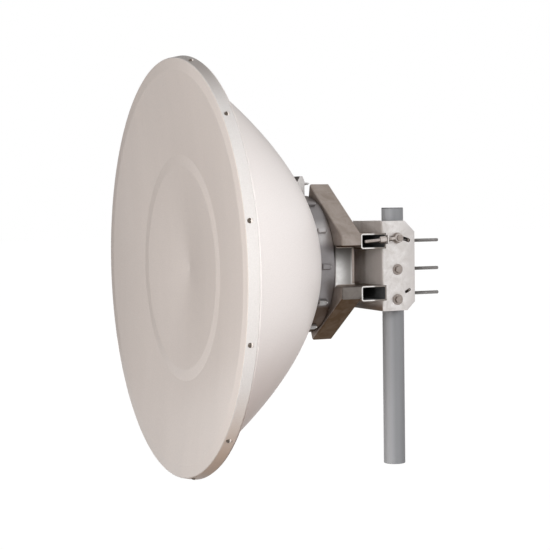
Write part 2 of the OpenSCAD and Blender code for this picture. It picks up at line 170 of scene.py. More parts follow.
def mixed(tree, share, under, over, blend="MIX"):
    """One colour laid over another; the colour sockets of a Mix node are its inputs 6 and 7."""
    return node(tree, "Mix", [("Factor", share), (6, under), (7, over)], data_type="RGBA",
                blend_type=blend).outputs[2]


def shaded(tree, colour, value, depth):
    """A colour made darker and lighter by a value, as far as depth each way."""
    shade = ranged(tree, value, 0.0, 1.0, (1.0 - depth, 1.0 + depth))
    grey = node(tree, "CombineColor", [(0, shade), (1, shade), (2, shade)]).outputs[0]
    return mixed(tree, 1.0, colour, grey, "MULTIPLY")


def patina_and_shade_group():
    """Broad stains, fine grain, and painted shade: one colour on faces that look down and another on those that look
    up.
    """
    tree, given, out = new_group(
        "patina_and_shade",
        [("Base", "Color"), ("Stain", "Color"), ("Patch Scale", "Float"), ("Stain Amount", "Float"),
         ("Roughness", "Float"), ("Rough Spread", "Float"), ("Grain Scale", "Float"), ("Shade Below", "Color"),
         ("Shade Below Amount", "Float"), ("Shade Below From", "Float"), ("Shade Below To", "Float"), ("Shade Above", "Color"),
         ("Shade Above From", "Float"), ("Shade Above To", "Float")],
        [("Color", "Color"), ("Roughness", "Float"), ("Height", "Float")])
    asked = given.outputs
    where = node(tree, "TexCoord").outputs["Object"]
    patch = node(tree, "TexNoise", [("Vector", where), ("Scale", asked["Patch Scale"]), ("Detail", 6.0),
                                    ("Roughness", 0.62), ("Distortion", 0.6)]).outputs["Fac"]
    grain = node(tree, "TexNoise", [("Vector", where), ("Scale", asked["Grain Scale"]),
                                    ("Detail", 2.0)]).outputs["Fac"]
    stain = calc(tree, "MULTIPLY", ranged(tree, patch, 0.36, 0.66), asked["Stain Amount"])
    colour = shaded(tree, mixed(tree, stain, asked["Base"], asked["Stain"]), grain, 0.1)
    # Painted shade: faces that look down are mixed towards one colour, faces that look up towards another.
    lean = node(tree, "SeparateXYZ", [("Vector", node(tree, "NewGeometry").outputs["Normal"])]).outputs["Z"]
    down = ranged(tree, lean, asked["Shade Below From"], asked["Shade Below To"], smooth=True)
    low_shade = calc(tree, "MULTIPLY", down, ranged(tree, patch, 0.25, 0.6, (0.85, 1.0)))
    colour = mixed(tree, calc(tree, "MULTIPLY", low_shade, asked["Shade Below Amount"]), colour, asked["Shade Below"])
    up = ranged(tree, lean, asked["Shade Above From"], asked["Shade Above To"], smooth=True)
    swing = calc(tree, "SUBTRACT", patch, 0.5)
    rough = calc(tree, "MULTIPLY_ADD", swing, asked["Rough Spread"], asked["Roughness"])
    tree.links.new(mixed(tree, up, colour, asked["Shade Above"]), out.inputs["Color"])
    tree.links.new(rough, out.inputs["Roughness"])
    tree.links.new(grain, out.inputs["Height"])
    return tree


def lines_group():
    """Fine lines along one direction, as rolled, drawn or brushed surfaces have them."""
    tree, given, out = new_group("drawn_lines", [("Stretch", "Vector")], [("Lines", "Float")])
    where = node(tree, "TexCoord").outputs["Object"]
    pulled = node(tree, "VectorMath", [(0, where), (1, given.outputs["Stretch"])], operation="MULTIPLY").outputs[0]
    noise = node(tree, "TexNoise", [("Vector", pulled), ("Scale", 1.0), ("Detail", 4.0), ("Roughness", 0.6)])
    tree.links.new(ranged(tree, noise.outputs["Fac"], 0.3, 0.7), out.inputs["Lines"])
    return tree


patina_and_shade, drawn_lines = patina_and_shade_group(), lines_group()


def surface(name, base, stain, roughness, metallic=0.0, patch=30.0, amount=0.5, spread=0.15, grain=900.0, bump=0.05,
            shade_below=(0.1, 0.07, 0.05), shade_below_amount=0.0, shade_below_span=(-0.35, -0.6), shade_above=(0.4, 0.37, 0.34),
            shade_above_span=(2.0, 3.0), lines=None, line_depth=0.1, **plain):
    """A material of base and stain colours with grain and painted shade, with drawn lines where they are given.

    A span holds the upward parts of a normal between which the painted shade below or above sets in; past 1 there is
    none.
    """
    material = bpy.data.materials.new(name)
    material.use_nodes = True
    tree = material.node_tree
    shader = tree.nodes["Principled BSDF"]
    shader.inputs["Metallic"].default_value = metallic
    for socket, value in plain.items():
        shader.inputs[socket.replace("_", " ")].default_value = value
    aged_and_shaded = node(tree, "Group", [
        ("Base", (*base, 1.0)), ("Stain", (*stain, 1.0)), ("Patch Scale", patch), ("Stain Amount", amount),
        ("Roughness", roughness), ("Rough Spread", spread), ("Grain Scale", grain), ("Shade Below", (*shade_below, 1.0)),
        ("Shade Below Amount", shade_below_amount), ("Shade Below From", shade_below_span[0]), ("Shade Below To", shade_below_span[1]),
        ("Shade Above", (*shade_above, 1.0)), ("Shade Above From", shade_above_span[0]), ("Shade Above To", shade_above_span[1])], node_tree=patina_and_shade)
    colour, height = aged_and_shaded.outputs["Color"], aged_and_shaded.outputs["Height"]
    if lines:
        pulled = node(tree, "Group", [("Stretch", lines)], node_tree=drawn_lines).outputs["Lines"]
        colour = shaded(tree, colour, pulled, line_depth)
        height = calc(tree, "ADD", height, pulled)
    relief = node(tree, "Bump", [("Height", height), ("Strength", bump), ("Distance", 0.6 * mm)])
    tree.links.new(colour, shader.inputs["Base Color"])
    tree.links.new(aged_and_shaded.outputs["Roughness"], shader.inputs["Roughness"])
    tree.links.new(relief.outputs["Normal"], shader.inputs["Normal"])
    return material


def fade(material, colour, axis, start, end):
    """Fades a material's colour into another along an axis, between two places in metres."""
    tree = material.node_tree
    base = tree.nodes["Principled BSDF"].inputs["Base Color"]
    place = node(tree, "SeparateXYZ", [("Vector", node(tree, "TexCoord").outputs["Object"])]).outputs[axis]
    share = ranged(tree, place, start, end, smooth=True)
    tree.links.new(mixed(tree, share, base.links[0].from_socket, (*colour, 1.0)), base)


def fit(piece, material, body, slot, *nodes):
    """Gives a finished piece its material and its body and hides the nodes that it stands for; slot is not used."""
    piece.data.materials.clear()
    piece.data.materials.append(material)
    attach(piece, body)
    if nodes:
        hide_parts(*nodes)
    return piece


mast_r, mast_bore, mast_len, plug_seat, plug_h, chamfer = 31.75, 28.55, 752.0, 28.85, 14.0, 0.8
plug_r, plug_bore, plug_foot, cap_under, cap_top = 28.8, 26.4, mast_len - plug_h, mast_len - 1.6, mast_len + 3.0
mast_paint = surface("mast_grey_steel", (0.37, 0.383, 0.402), (0.347, 0.359, 0.377), 0.5, 0.0, patch=9.0, amount=0.4,
                     grain=1400.0, bump=0.04, lines=(90.0, 90.0, 0.6), line_depth=0.06, Specular_IOR_Level=0.15)
# Painted shade: the tube is painted darker from its middle towards +Y, the side the lamps light most, so that it
# looks evenly lit.
fade(mast_paint, (0.208, 0.217, 0.229), "Y", -0.031, -0.008)
mast = turned("mast", [
    (mast_bore + chamfer, 0), (mast_r - chamfer, 0), (mast_r, chamfer), (mast_r, mast_len - chamfer),
    (mast_r - chamfer, mast_len), (plug_seat, mast_len), (plug_seat, plug_foot), (mast_bore, plug_foot),
    (mast_bore, chamfer)], Vector(), Z, X, 96)
fit(ease_edges(mast, 0), mast_paint, "mast", "mast_paint", "mast_tube")

plug_grey = surface("plug_grey_plastic", (0.17, 0.18, 0.19), (0.13, 0.135, 0.14), 0.5, patch=60.0, grain=2200.0,
                    bump=0.12)
plug = turned("mast_cap", [
    (0, cap_top - 0.3), (20, cap_top), (30.4, cap_top), (31.3, cap_top - 0.4), (mast_r, cap_top - 1.2),
    (mast_r, mast_len), (plug_r, mast_len), (plug_r, plug_foot + 1), (plug_r - 0.5, plug_foot),
    (plug_bore, plug_foot), (plug_bore, cap_under), (0, cap_under)], Vector(), Z, X, 72, closed=False)
fit(ease_edges(plug, 0), plug_grey, "mast", "plug_plastic", "mast_plug")

# Clamp carrier and jaw: two V plates of bent steel that grip the mast, the
# front one with the machined side blocks that the head tilts on. Both are
# cut and welded, with their edges ground round.


def eased_copy(node_name, name, width):
    """A copy of a CAD node with its triangles joined into flat faces and its edges ground round."""
    piece = bpy.data.objects.new(name, frame["nodes"][node_name].data.copy())
    piece.data.name = name
    bpy.context.scene.collection.objects.link(piece)
    pick(piece)
    bpy.ops.object.mode_set(mode="EDIT")
    bpy.ops.mesh.select_all(action="SELECT")
    bpy.ops.mesh.customdata_custom_splitnormals_clear()
    bpy.ops.mesh.remove_doubles(threshold=1e-6)
    bpy.ops.mesh.dissolve_limited(angle_limit=radians(0.5))
    bpy.ops.object.mode_set(mode="OBJECT")
    return ease_edges(piece, width)


# Painted shade: this brown stands in for the dark brownish light that faces looking down catch, on the bracket, yoke,
# fastener and eyebolt steels.
underside_shade_brown = (0.0865, 0.053, 0.031)
dull_glint = {"Specular_IOR_Level": 0.25, "Specular_Tint": (0.6, 0.55, 0.5, 1.0)}
bracket_steel = surface("bracket_mill_steel", (0.375, 0.328, 0.30), (0.285, 0.24, 0.208), 0.46, 0.9, patch=26.0,
                        amount=0.8, spread=0.3, grain=700.0, bump=0.12, shade_below=underside_shade_brown, shade_below_amount=1.0,
                        **dull_glint)
fit(eased_copy("clamp_carrier", "carrier_v_plate", 0.8), bracket_steel, "clamp", "bracket_steel", "clamp_carrier")
fit(eased_copy("clamp_jaw", "jaw_v_plate", 0.8), bracket_steel, "jaw", "bracket_steel", "clamp_jaw")

# Clamp studs, washers and nuts: six M10 stainless studs with hex heads in the
# carrier and rolled threads, and a plain washer and a nut on each behind the
# jaw. The nuts draw the jaw against the mast.
hex_r, head_h, nut_h, stud_r, thread_pitch = 17 / sqrt(3), 6.4, 8.0, 5.0, 1.5
jaw_washer_r, jaw_washer_t, stud_hole, shank_len, far_stud_end = 10.0, 2.5, 5.5, 38.0, 81.0


def cut(piece, cutter, how="DIFFERENCE"):
    """Cuts one piece with another, or joins or crosses them, and throws the cutter away."""
    apply_modifier(piece, "BOOLEAN", operation=how, object=cutter, solver="EXACT")
    mesh = cutter.data
    bpy.data.objects.remove(cutter)
    bpy.data.meshes.remove(mesh)
    return piece


def pin(radius, length, sides=32, **place):
    """A plain bar that a head is cut from, or a hole with."""
    bpy.ops.object.select_all(action="DESELECT")
    bpy.ops.mesh.primitive_cylinder_add(vertices=sides, radius=radius * mm, depth=length * mm, **place)
    return bpy.context.object


def hexagon(name, radius, height, both_ends=False):
    """A hex head or nut that stands on the origin, with the turned chamfer of a rolled bar."""
    piece = pin(radius, height, 6, location=Z * height / 2 * mm)
    piece.name = piece.data.name = name
    bpy.ops.object.transform_apply(location=True, rotation=True, scale=True)
    drop = 0.14 * radius
    foot = [(0, 0), (radius * 0.88, 0), (radius * 1.02, drop * 0.6)] if both_ends else [(0, 0), (radius * 1.02, 0)]
    barrel = turned("barrel", foot + [(radius * 1.02, height - drop), (radius * 0.82, height), (0, height)],
                    Vector(), Z, X, 48, closed=False)
    return cut(piece, barrel, "INTERSECT")


def threaded(name, radius, start, end, plain_to=None, steps=24):
    """A rod along Z with a plain shank up to plain_to and ridges of the thread's pitch after it."""
    plain_to = start if plain_to is None else plain_to
    profile = [(0, start), (radius - 0.6, start), (radius, start + 0.6)]
    ridge = plain_to + thread_pitch
    while ridge < end - 2.0:
        profile += [(radius - 0.05, ridge), (radius - 0.75, ridge + thread_pitch / 2)]
        ridge += thread_pitch
    profile += [(radius - 0.1, end - 1.4), (radius - 1.2, end), (0, end)]
    return turned(name, profile, Vector(), Z, X, steps, closed=False)


def join(name, pieces):
    """Several meshes as one piece."""
    bpy.ops.object.select_all(action="DESELECT")
    for piece in pieces:
        piece.select_set(True)
    bpy.context.view_layer.objects.active = pieces[0]
    if len(pieces) > 1:
        bpy.ops.object.join()
    pieces[0].name = pieces[0].data.name = name
    return pieces[0]


def copies(name, model, places):
    """The model copied to each place, a matrix, each with its own mesh, all joined into one piece."""
    made = []
    for place in places:
        pick(model)
        bpy.ops.object.duplicate()
        twin = bpy.context.object
        twin.data.transform(place)
        if place.determinant() < 0:
            twin.data.flip_normals()
        made.append(twin)
    mesh = model.data
    bpy.data.objects.remove(model)
    bpy.data.meshes.remove(mesh)
    return join(name, made)


tilt_axis = Vector(next(j["pos_m"] for j in frame["joints"] if j["name"] == "elevation"))
stud_x, stud_heights = 46.5, (82.0, 0.0, -72.0)
seat_front, seat_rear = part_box("clamp_studs")[0].y / mm + head_h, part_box("jaw_washers")[0].y / mm
stud_ends = {1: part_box("clamp_studs")[1].y / mm, -1: far_stud_end}
along_y = Matrix.Rotation(-pi / 2, 4, "X")
fastener_steel = surface("dull_stainless", (0.36, 0.315, 0.29), (0.26, 0.22, 0.195), 0.40, 0.9, patch=90.0,
                         amount=0.6, spread=0.25, grain=1600.0, bump=0.06, shade_below=underside_shade_brown, shade_below_amount=0.4)
stud_steel = surface("stud_stainless", (0.33, 0.32, 0.315), (0.26, 0.25, 0.242), 0.40, 0.85, patch=70.0, amount=0.5,
                     grain=1500.0, bump=0.05)


def stud_places(y, sides=(-1, 1)):
    """Places along the studs at a depth, for the studs of one side of the mast or of both."""
    return [Matrix.Translation((side * stud_x * mm, y * mm, tilt_axis.z + z * mm)) @ along_y
            for z in stud_heights for side in sides]


studs = []
for side, end in stud_ends.items():
    stud_head = hexagon("stud_head", hex_r, head_h)
    stud_head.data.transform(Matrix.Rotation(pi, 4, "X"))
    stud = join("stud", [stud_head, threaded("rod", stud_r, -1.0, end - seat_front, plain_to=shank_len)])
    studs.append(copies("side_studs", stud, stud_places(seat_front, (side,))))
studs = join("stud_set", studs)
fit(ease_edges(studs, 0), stud_steel, "clamp", "fastener_steel", "clamp_studs")

washer = turned("washer", [
    (stud_hole, 0.3), (stud_hole + 0.3, 0), (jaw_washer_r - 0.4, 0), (jaw_washer_r, 0.3),
    (jaw_washer_r, jaw_washer_t - 0.3), (jaw_washer_r - 0.4, jaw_washer_t), (stud_hole + 0.3, jaw_washer_t),
    (stud_hole, jaw_washer_t - 0.3)], Vector(), Z, X, 48)
washers = copies("jaw_washer_set", washer, stud_places(seat_rear))
fit(ease_edges(washers, 0), fastener_steel, "jaw", "fastener_steel", "jaw_washers")

stud_nut = cut(hexagon("stud_nut", hex_r, nut_h, both_ends=True), pin(stud_hole, 30))
stud_nuts = copies("jaw_nut_set", stud_nut, stud_places(seat_rear + jaw_washer_t))
fit(ease_edges(stud_nuts, 0.25), fastener_steel, "jaw", "fastener_steel", "jaw_nuts")

# Pole yoke: one 6 mm steel sheet bent round its near corner into web and near
# cheek, with the far cheek and a gusset welded on. The bright, mottled cheeks
# carry the tilt hole, the curved slots and the notches for the cross beams.
hub_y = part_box("hub_tray")[0].y
axis_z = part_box("reflector")[0].z / 2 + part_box("reflector")[1].z / 2
sheet, web_b, web_len, cheek_b, yoke_half, yoke_low, yoke_high = 6.0, 129.0, 190.0, 234.0, 77.5, -132.0, 128.0
low_corner, high_corner = ((209.0, yoke_low), (cheek_b, -103.0)), ((202.0, yoke_high), (cheek_b, 97.0))
upper_r, lower_r, short_slot_r, pivot_r, through = 91.0, 87.0, 71.0, 5.06, 400.0
beam_b, beam_w, beam_h, beam_heights = 61.0, 80.0, 44.0, (-79.0, 71.0)
at_yoke = Vector((0, hub_y, axis_z))


def rounded(corners, steps=4):
    """Corners of a flat drawing, each with a radius, turned into points along its arcs."""
    points = []
    for i, (a, b, radius) in enumerate(corners):
        here = Vector((a, b))
        if not radius:
            points.append(here)
            continue
        back = (Vector(corners[i - 1][:2]) - here).normalized()
        on = (Vector(corners[(i + 1) % len(corners)][:2]) - here).normalized()
        half = back.angle(on) / 2
        middle = here + (back + on).normalized() * radius / sin(half)
        arm = here + back * radius / tan(half) - middle
        turn = (pi - 2 * half) * (1 if back.x * on.y - back.y * on.x < 0 else -1)
        points += [middle + Matrix.Rotation(turn * k / steps, 2) @ arm for k in range(steps + 1)]
    return points


def thicken(piece, wall):
    """Gives a bent sheet its thickness, inward from the drawn side."""
    apply_modifier(piece, "SOLIDIFY", thickness=wall * mm, offset=-1.0, use_even_offset=True)


def rectangle(a, b, to_a, to_b):
    """Corners of a flat rectangle."""
    return [Vector((a, b)), Vector((to_a, b)), Vector((to_a, to_b)), Vector((a, to_b))]


def circle(radius, steps):
    """Points round a flat circle."""
    return [Vector((cos(2 * pi * k / steps), sin(2 * pi * k / steps))) * radius for k in range(steps)]


def plate(name, outline, at, across, up, thick):
    """An outline in millimetres, drawn from a point along two directions, filled and pushed thick."""
    piece = begin(name)
    draw(piece, [at + (across * a + up * b) * mm for a, b in outline], True)
    bpy.ops.mesh.edge_face_add()
    bpy.ops.mesh.extrude_region_move(TRANSFORM_OT_translate={"value": across.cross(up) * thick * mm})
    return face_out(piece)


def ring_slot(radius, first, last, half_width, steps=12):
    """Outline of a curved slot about the tilt axis; angles in degrees from straight down."""
    def on(angle, r):
        return Vector((sin(angle) * r, -cos(angle) * r))
    first, last = radians(first), radians(last)
    points = [on(first + (last - first) * k / steps, radius + half_width) for k in range(steps + 1)]
    end = on(last, radius)
    points += [end + on(last + pi * k / 8, half_width) for k in range(1, 8)]
    points += [on(last + (first - last) * k / steps, radius - half_width) for k in range(steps + 1)]
    start = on(first, radius)
    points += [start + on(first + pi + pi * k / 8, half_width) for k in range(1, 8)]
    return points


yoke_steel = surface("yoke_bright_steel", (0.75, 0.725, 0.715), (0.56, 0.525, 0.50), 0.42, 0.88, patch=42.0,
                     amount=0.75, spread=0.3, grain=650.0, bump=0.10, shade_below=underside_shade_brown, shade_below_amount=0.5)
# Painted light: the web, part of the same bent sheet, takes a lighter, less metallic copy of the yoke's steel, as the
# lamps barely reach it.
web_lit_steel = surface("yoke_web_lit_steel", (0.88, 0.83, 0.80), (0.78, 0.73, 0.69), 0.5, 0.15, patch=34.0, amount=0.8,
                    spread=0.2, grain=700.0, bump=0.10, lines=(120.0, 120.0, 8.0), line_depth=0.07,
                    shade_below=underside_shade_brown, shade_below_amount=0.4)
fade(yoke_steel, (0.60, 0.57, 0.555), "Y", hub_y + 0.18, hub_y + 0.235)
# Painted shade: the web is painted darker towards the near cheek, and dark brown at its foot under the lower beam.
fade(web_lit_steel, (0.50, 0.465, 0.445), "X", -0.05, 0.07)
fade(web_lit_steel, (0.16, 0.115, 0.085), "Z", axis_z - 0.101, axis_z - 0.125)
slot_dark = surface("slot_edge_scale", (0.035, 0.028, 0.023), (0.06, 0.048, 0.04), 0.6, 0.4, patch=90.0, grain=1200.0)
yoke = begin("pole_yoke_bent")
corner = rounded([(yoke_half - web_len, web_b, 0), (yoke_half, web_b, 9.0), (yoke_half, cheek_b, 0)], 6)
draw(yoke, [at_yoke + (X * u + Y * b + Z * yoke_low) * mm for u, b in corner], False)
bpy.ops.mesh.extrude_region_move(TRANSFORM_OT_translate={"value": Z * (yoke_high - yoke_low) * mm})
for (b, z), (to_b, to_z), side in ((*low_corner, -1), (*high_corner, 1)):
    bpy.ops.mesh.select_all(action="SELECT")
    bpy.ops.mesh.bisect(plane_co=at_yoke + (Y * b + Z * z) * mm,
                        plane_no=(0, (z - to_z) * side, (to_b - b) * side), clear_outer=True)
face_out(yoke)
if yoke.data.polygons[0].normal.y > 0:
    yoke.data.flip_normals()
thicken(yoke, sheet)
cheek_outline = [(web_b + sheet - 1, yoke_low), *low_corner, *high_corner[::-1], (web_b + sheet - 1, yoke_high)]
far_cheek = plate("far_cheek", [Vector(p) for p in cheek_outline], at_yoke - X * yoke_half * mm, Y, Z, sheet)
at_tilt = Vector((0, tilt_axis.y, tilt_axis.z))
for one in (yoke, far_cheek):
    for z in beam_heights:
        notch = rectangle(beam_b, z - beam_h / 2, beam_b + beam_w, z + beam_h / 2)
        cut(one, plate("notch", notch, at_yoke - X * through / 2 * mm, Y, Z, through))
    for outline in (ring_slot(upper_r, 156.5, 198, 5.6), ring_slot(lower_r, -6.6, 6.6, 5.4),
                    ring_slot(short_slot_r, 23, 33, 4.0, 4), circle(pivot_r, 32)):
        cut(one, plate("slot", outline, at_tilt - X * through / 2 * mm, Y, Z, through))
    ease_edges(one, 0.7)
yoke = fit(join("pole_yoke_sheet", [yoke, far_cheek]), yoke_steel, "head", "yoke_steel", "pole_yoke")


def paint(piece, material, wanted):
    """Another finish for the wanted faces, where they still have the first one."""
    piece.data.materials.append(material)
    for face in piece.data.polygons:
        if face.material_index == 0 and wanted(face):
            face.material_index = len(piece.data.materials) - 1


def on_web(face):
    """The web's two sides, up to the bend."""
    return abs(face.normal.y) > 0.9 and face.center.y < hub_y + (web_b + sheet + 2) * mm


def in_slots(face):
    """The walls of the curved slots, above and below the tilt hole."""
    spoke = (face.center - at_tilt).yz / mm
    return abs(face.normal.x) < 0.3 and 64 < spoke.length < 98 and abs(spoke.y) > 55 and spoke.x > -40


paint(yoke, web_lit_steel, on_web)
paint(yoke, slot_dark, in_slots)
fit(eased_copy("yoke_gusset", "gusset_plate", 0.6), web_lit_steel, "head", "bracket_steel", "yoke_gusset")
fit(eased_copy("adjuster_lug", "adjuster_lug_plate", 0.5), yoke_steel, "head", "yoke_steel", "adjuster_lug")

# Cross beams: two lengths of cold-formed rectangular steel tube, 80 x 44 x 4,
# welded between the tray's lid and the yoke, with open saw-cut ends.
beam_len, beam_wall, beam_corner = 340.0, 4.0, 7.0
cut_end = surface("saw_cut_steel", (0.80, 0.785, 0.77), (0.66, 0.64, 0.62), 0.32, 0.9, patch=80.0, grain=1800.0,
                  bump=0.08)
fade(cut_end, (0.24, 0.215, 0.195), "Y", hub_y + 0.098, hub_y + 0.108)
beam_inside = surface("beam_inside_scale", (0.085, 0.087, 0.09), (0.05, 0.05, 0.05), 0.7, 0.2, patch=40.0)


def choose_faces(piece, wanted):
    """Opens a piece in edit mode with only the wanted faces selected."""
    pick(piece)
    bpy.ops.object.mode_set(mode="EDIT")
    bpy.ops.mesh.select_mode(type="FACE")
    drawing = bmesh.from_edit_mesh(piece.data)
    for face in drawing.faces:
        face.select_set(wanted(face))
    bmesh.update_edit_mesh(piece.data)


beam_start = at_yoke + X * (yoke_half - beam_len) * mm
beams = []
for z in beam_heights:
    low, high = z - beam_h / 2, z + beam_h / 2
    beam_outline = [(*corner, beam_corner) for corner in rectangle(beam_b, low, beam_b + beam_w, high)]
    beam = plate("beam", rounded(beam_outline, 5), beam_start, Y, Z, beam_len)
    choose_faces(beam, lambda face: abs(face.normal.x) > 0.9)
    bpy.ops.mesh.delete(type="ONLY_FACE")
    bpy.ops.mesh.select_mode(type="VERT")
    bpy.ops.object.mode_set(mode="OBJECT")
    thicken(beam, beam_wall)
    beams.append(ease_edges(beam, 0.5))
beams = fit(join("beam_pair", beams), bracket_steel, "head", "bracket_steel", "cross_beams")


def in_beam(face):
    """The tubes' inner walls, more than 3 mm in from the outside."""
    b, z = (face.center.y - hub_y) / mm, (face.center.z - axis_z) / mm
    return beam_b + 3 < b < beam_b + beam_w - 3 and min(abs(z - middle) for middle in beam_heights) < beam_h / 2 - 3


paint(beams, cut_end, lambda face: abs(face.normal.x) > 0.4)
paint(beams, beam_inside, in_beam)

# Hub tray: a shallow pan of 6 mm steel sheet with all its edges bent back and
# two ears towards the mast. It is bolted to the hub ring; two ribs and a thick
# lid plate weld it to the cross beams.
tray_depth, tray_bend, lid_b, wall_a, ear_a, ear_foot, ear_tip = 61.0, 6.5, 53.0, 205.0, 250.0, 57.0, 90.0
tray_outline = [(ear_a, -ear_tip), (ear_a, -ear_foot), (wall_a, -ear_foot), (wall_a, ear_foot), (ear_a, ear_foot),
                (ear_a, ear_tip), (31, 241), (22, 202), (-150, 120), (-190, 0), (-150, -120), (22, -195), (38, -228)]
bolt_ring, bolt_count, bolt_hole, bolt_hex_r, bolt_r, window_r = 159.0, 8, 4.5, 7.5, 4.0, 75.0
dish_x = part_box("reflector")[0].x / 2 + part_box("reflector")[1].x / 2
at_hub = Vector((dish_x, hub_y, axis_z))
# Painted light and shade: the wall between the ears takes a much lighter copy of the pan's steel as a painted
# reflection, fading to painted shade towards the rear, with a lighter painted strip on the rear bend and a painted
# shadow of the upper ear across its top.
tray_wall = surface("tray_wall_painted_light", (0.82, 0.81, 0.80), (0.54, 0.525, 0.51), 0.34, 0.9, patch=30.0, amount=0.7,
                    spread=0.25, grain=700.0, bump=0.08)
fade(tray_wall, (0.26, 0.25, 0.24), "Y", hub_y + 0.002, hub_y + 0.046)
fade(tray_wall, (0.45, 0.435, 0.42), "Y", hub_y + 0.048, hub_y + 0.05)
fade(tray_wall, (0.045, 0.04, 0.036), "Z", axis_z - 0.03, axis_z + 0.056)
# Painted shade: the lower ear's end takes a darker copy of the bracket steel.
ear_shaded = surface("ear_shaded_steel", (0.20, 0.18, 0.165), (0.14, 0.125, 0.113), 0.46, 0.9, patch=26.0, amount=0.8,
                   spread=0.3, grain=700.0, bump=0.12)
tray = begin("tray")
draw(tray, [at_hub + (X * a + Z * b) * mm for a, b in tray_outline], True)
bpy.ops.mesh.edge_face_add()
bpy.ops.mesh.extrude_region_move(TRANSFORM_OT_translate={"value": Y * tray_depth * mm})
bpy.ops.mesh.delete(type="ONLY_FACE")
face_out(tray)
bpy.ops.object.mode_set(mode="EDIT")
bpy.ops.mesh.select_mode(type="EDGE")
drawing = bmesh.from_edit_mesh(tray.data)
for edge in drawing.edges:
    edge.select_set(len(edge.link_faces) == 2)
bmesh.update_edit_mesh(tray.data)
bpy.ops.mesh.bevel(offset=tray_bend * mm, segments=5, affect="EDGES")
bpy.ops.mesh.select_mode(type="VERT")
bpy.ops.object.mode_set(mode="OBJECT")
base = max(tray.data.polygons, key=lambda f: f.area)
if base.normal.y > 0:
    tray.data.flip_normals()
thicken(tray, sheet)
bolt_turns = [Matrix.Translation(at_hub) @ Matrix.Rotation(2 * pi * k / bolt_count, 4, "Y")
              @ Matrix.Translation((bolt_ring * mm, 0, 0)) @ along_y for k in range(bolt_count)]
cut(tray, copies("bolt_holes", pin(bolt_hole, 60, 24), bolt_turns))
cut(tray, plate("feed_window", circle(window_r, 64), at_hub - Y * 30 * mm, Z, X, 60))
cut(tray, plate("lid_seat", rectangle(-105, -90, 105, wall_a), at_hub + Y * lid_b * mm, Z, X, 9))
tray = fit(ease_edges(tray, 0.6), bracket_steel, "head", "bracket_steel", "hub_tray")


def on_wall(face):
    """The pan's wall between its two ears, painted bright."""
    along, up = (face.center.x - at_hub.x) / mm, (face.center.z - axis_z) / mm
    return face.normal.x > 0.15 and abs(along - wall_a) < 7 and abs(up) < ear_foot - 3.5


def on_low_ear(face):
    """The lower ear's end, towards the mast."""
    return face.normal.x > 0.2 and face.center.x > at_hub.x + (ear_a - 14) * mm and face.center.z < axis_z


paint(tray, tray_wall, on_wall)
paint(tray, ear_shaded, on_low_ear)
fit(eased_copy("tray_lid", "tray_lid_plate", 0.8), bracket_steel, "head", "bracket_steel", "tray_lid")
fit(eased_copy("tray_ribs", "tray_rib_pair", 0.5), bracket_steel, "head", "bracket_steel", "tray_ribs")

bright_steel = surface("zinc_plate", (0.74, 0.735, 0.73), (0.62, 0.61, 0.60), 0.3, 0.95, patch=80.0, amount=0.5,
                       spread=0.2, grain=1500.0, bump=0.05)
tray_bolt = join("tray_bolt", [hexagon("head", bolt_hex_r, 5.3), threaded("rod", bolt_r, -23.0, 1.0, plain_to=-9.0)])
tray_bolts = copies("tray_bolt_set", tray_bolt, [Matrix.Translation(Y * sheet * mm) @ place for place in bolt_turns])
fit(ease_edges(tray_bolts, 0), bright_steel, "head", "bright_steel", "tray_bolts")

# Hub ring: a grey aluminium casting on the reflector's back, with a flange for
# the tray and screwed lugs all round, except under the hoist bracket. A turned
# plate and a rubber seal in its middle hold the feed.
focal, vertex, hub_r, hub_in, flat_r, hub_rear, flange_t = 199.013, 439.0, 205.0, 172.0, 150.0, 429.7355, 10.0
lug_len, lug_count, hoist_lug, screw_hex_r, screw_r = 24.0, 12, 9, 3.2, 2.0
rim_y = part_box("radome")[0].y
at_dish = Vector((dish_x, rim_y, axis_z))


def bowl(r):
    """Depth of the reflector's outside at a radius, behind the radome's front."""
    return vertex - r * r / (4 * focal)


# Painted shade: the casting's faces that look down are painted brown.
hub_grey = surface("cast_grey_aluminium", (0.26, 0.248, 0.252), (0.205, 0.194, 0.197), 0.42, 0.85, patch=18.0,
                   amount=0.6, spread=0.25, grain=500.0, bump=0.16, shade_below=(0.074, 0.05, 0.037), shade_below_amount=1.0,
                   shade_below_span=(-0.5, -0.6), **dull_glint)
# Painted highlight: a lighter band round the ring, between about 50 and 140 mm above the axis.
fade(hub_grey, (0.47, 0.455, 0.455), "Z", axis_z + 0.05, axis_z + 0.08)
fade(hub_grey, (0.24, 0.228, 0.23), "Z", axis_z + 0.10, axis_z + 0.14)
hub_foot = [(hub_in + (hub_r - hub_in) * k / 4, bowl(hub_in + (hub_r - hub_in) * k / 4) + 0.3) for k in range(5)]
hub_wall = rounded([(hub_r, 380, 0), (hub_r, hub_rear, 3), (flat_r, hub_rear, 1.5),
                    (flat_r, hub_rear - flange_t, 1.5), (195, hub_rear - flange_t, 4), (195, bowl(195) + 6, 4),
                    (hub_in, bowl(hub_in) + 6, 2), (hub_in, 395, 0)], 4)
hub = turned("hub_casting", [Vector(p) for p in hub_foot] + hub_wall[1:-1], at_dish, Y, X, 160)
lug_y = bowl(hub_r) + 2
tongue = rounded([(-3, -8.5, 0), (8, -8.5, 3), (8, 8.5, 3), (-3, 8.5, 0)], 4)
tongue_at = at_dish + (X * hub_r + Y * lug_y) * mm
lug_model = ease_edges(plate("lug", tongue, tongue_at, X, -Z, lug_len), 2.4, 3)
lug_turns = [Matrix.Translation(at_dish) @ Matrix.Rotation(2 * pi * k / lug_count, 4, "Y")
             for k in range(lug_count) if k != hoist_lug]
cut(hub, copies("lugs", lug_model, [turn @ Matrix.Translation(-at_dish) for turn in lug_turns]), "UNION")
fit(ease_edges(hub, 0, angle=32), hub_grey, "head", "hub_aluminium", "hub_ring")
